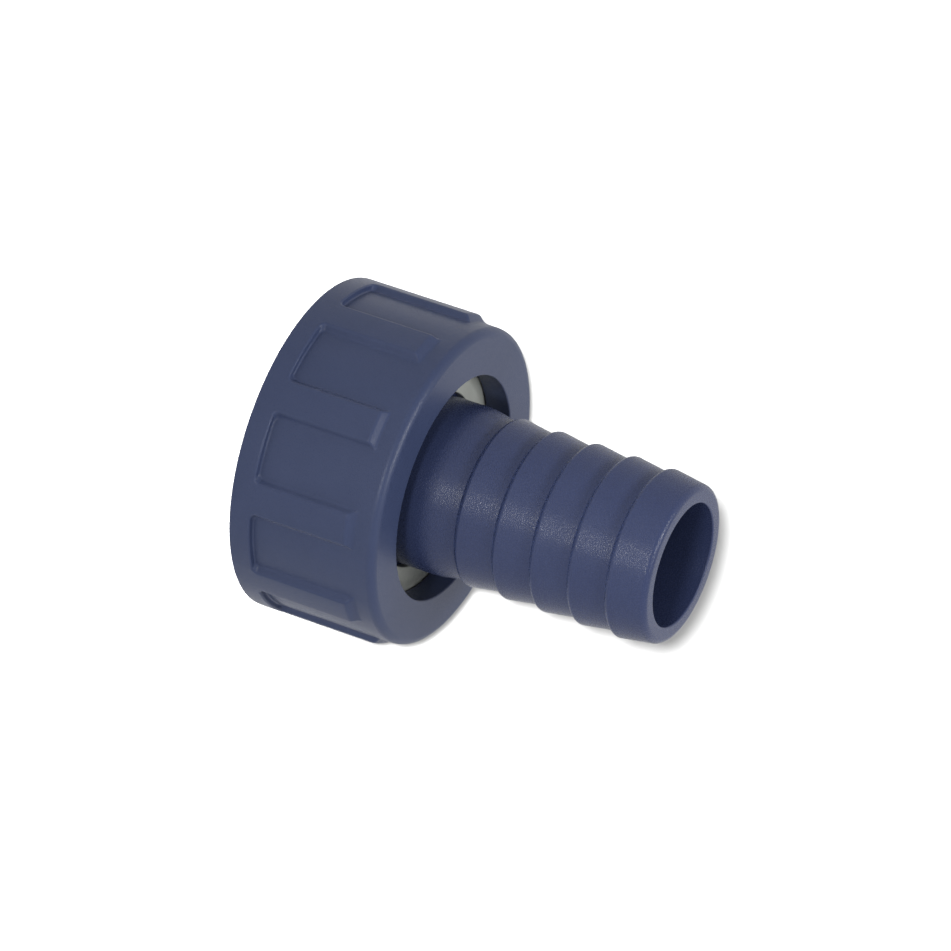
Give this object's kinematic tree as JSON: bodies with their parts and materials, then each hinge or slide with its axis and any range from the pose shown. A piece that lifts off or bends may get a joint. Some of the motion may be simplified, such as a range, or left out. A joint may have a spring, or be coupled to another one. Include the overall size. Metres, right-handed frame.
{
  "type": "swivel pipe connector",
  "caption": "Ribbed union nut with a female pipe thread that turns freely on a barbed hose tail, with a slip ring at its shoulder and a flat gasket behind the thread.",
  "frame": {"origin": "centre of the nut's open mouth, on the flat face that the part stands on", "axes": "+Z along the pipe axis, from the nut's mouth to the open end of the hose tail; +X through the middle of one grip land"},
  "size_m": [0.053, 0.053, 0.064],
  "materials": {
    "nut_plastic": "dark blue-grey moulded plastic, satin with a fine grain",
    "tail_plastic": "dark blue-grey moulded plastic, satin with a fine grain",
    "ring_plastic": "pale grey plastic, matt",
    "gasket_rubber": "black rubber, matt"
  },
  "bodies": {
    "nut": {"union_nut": "nut_plastic", "gasket": "gasket_rubber"},
    "tail": {"hose_tail": "tail_plastic", "slip_ring": "ring_plastic"}
  },
  "joints": [
    {"name": "swivel", "type": "hinge", "parent": "nut", "child": "tail", "pos_m": [0, 0, 0.0165], "axis": [0, 0, 1], "continuous": true}
  ]
}
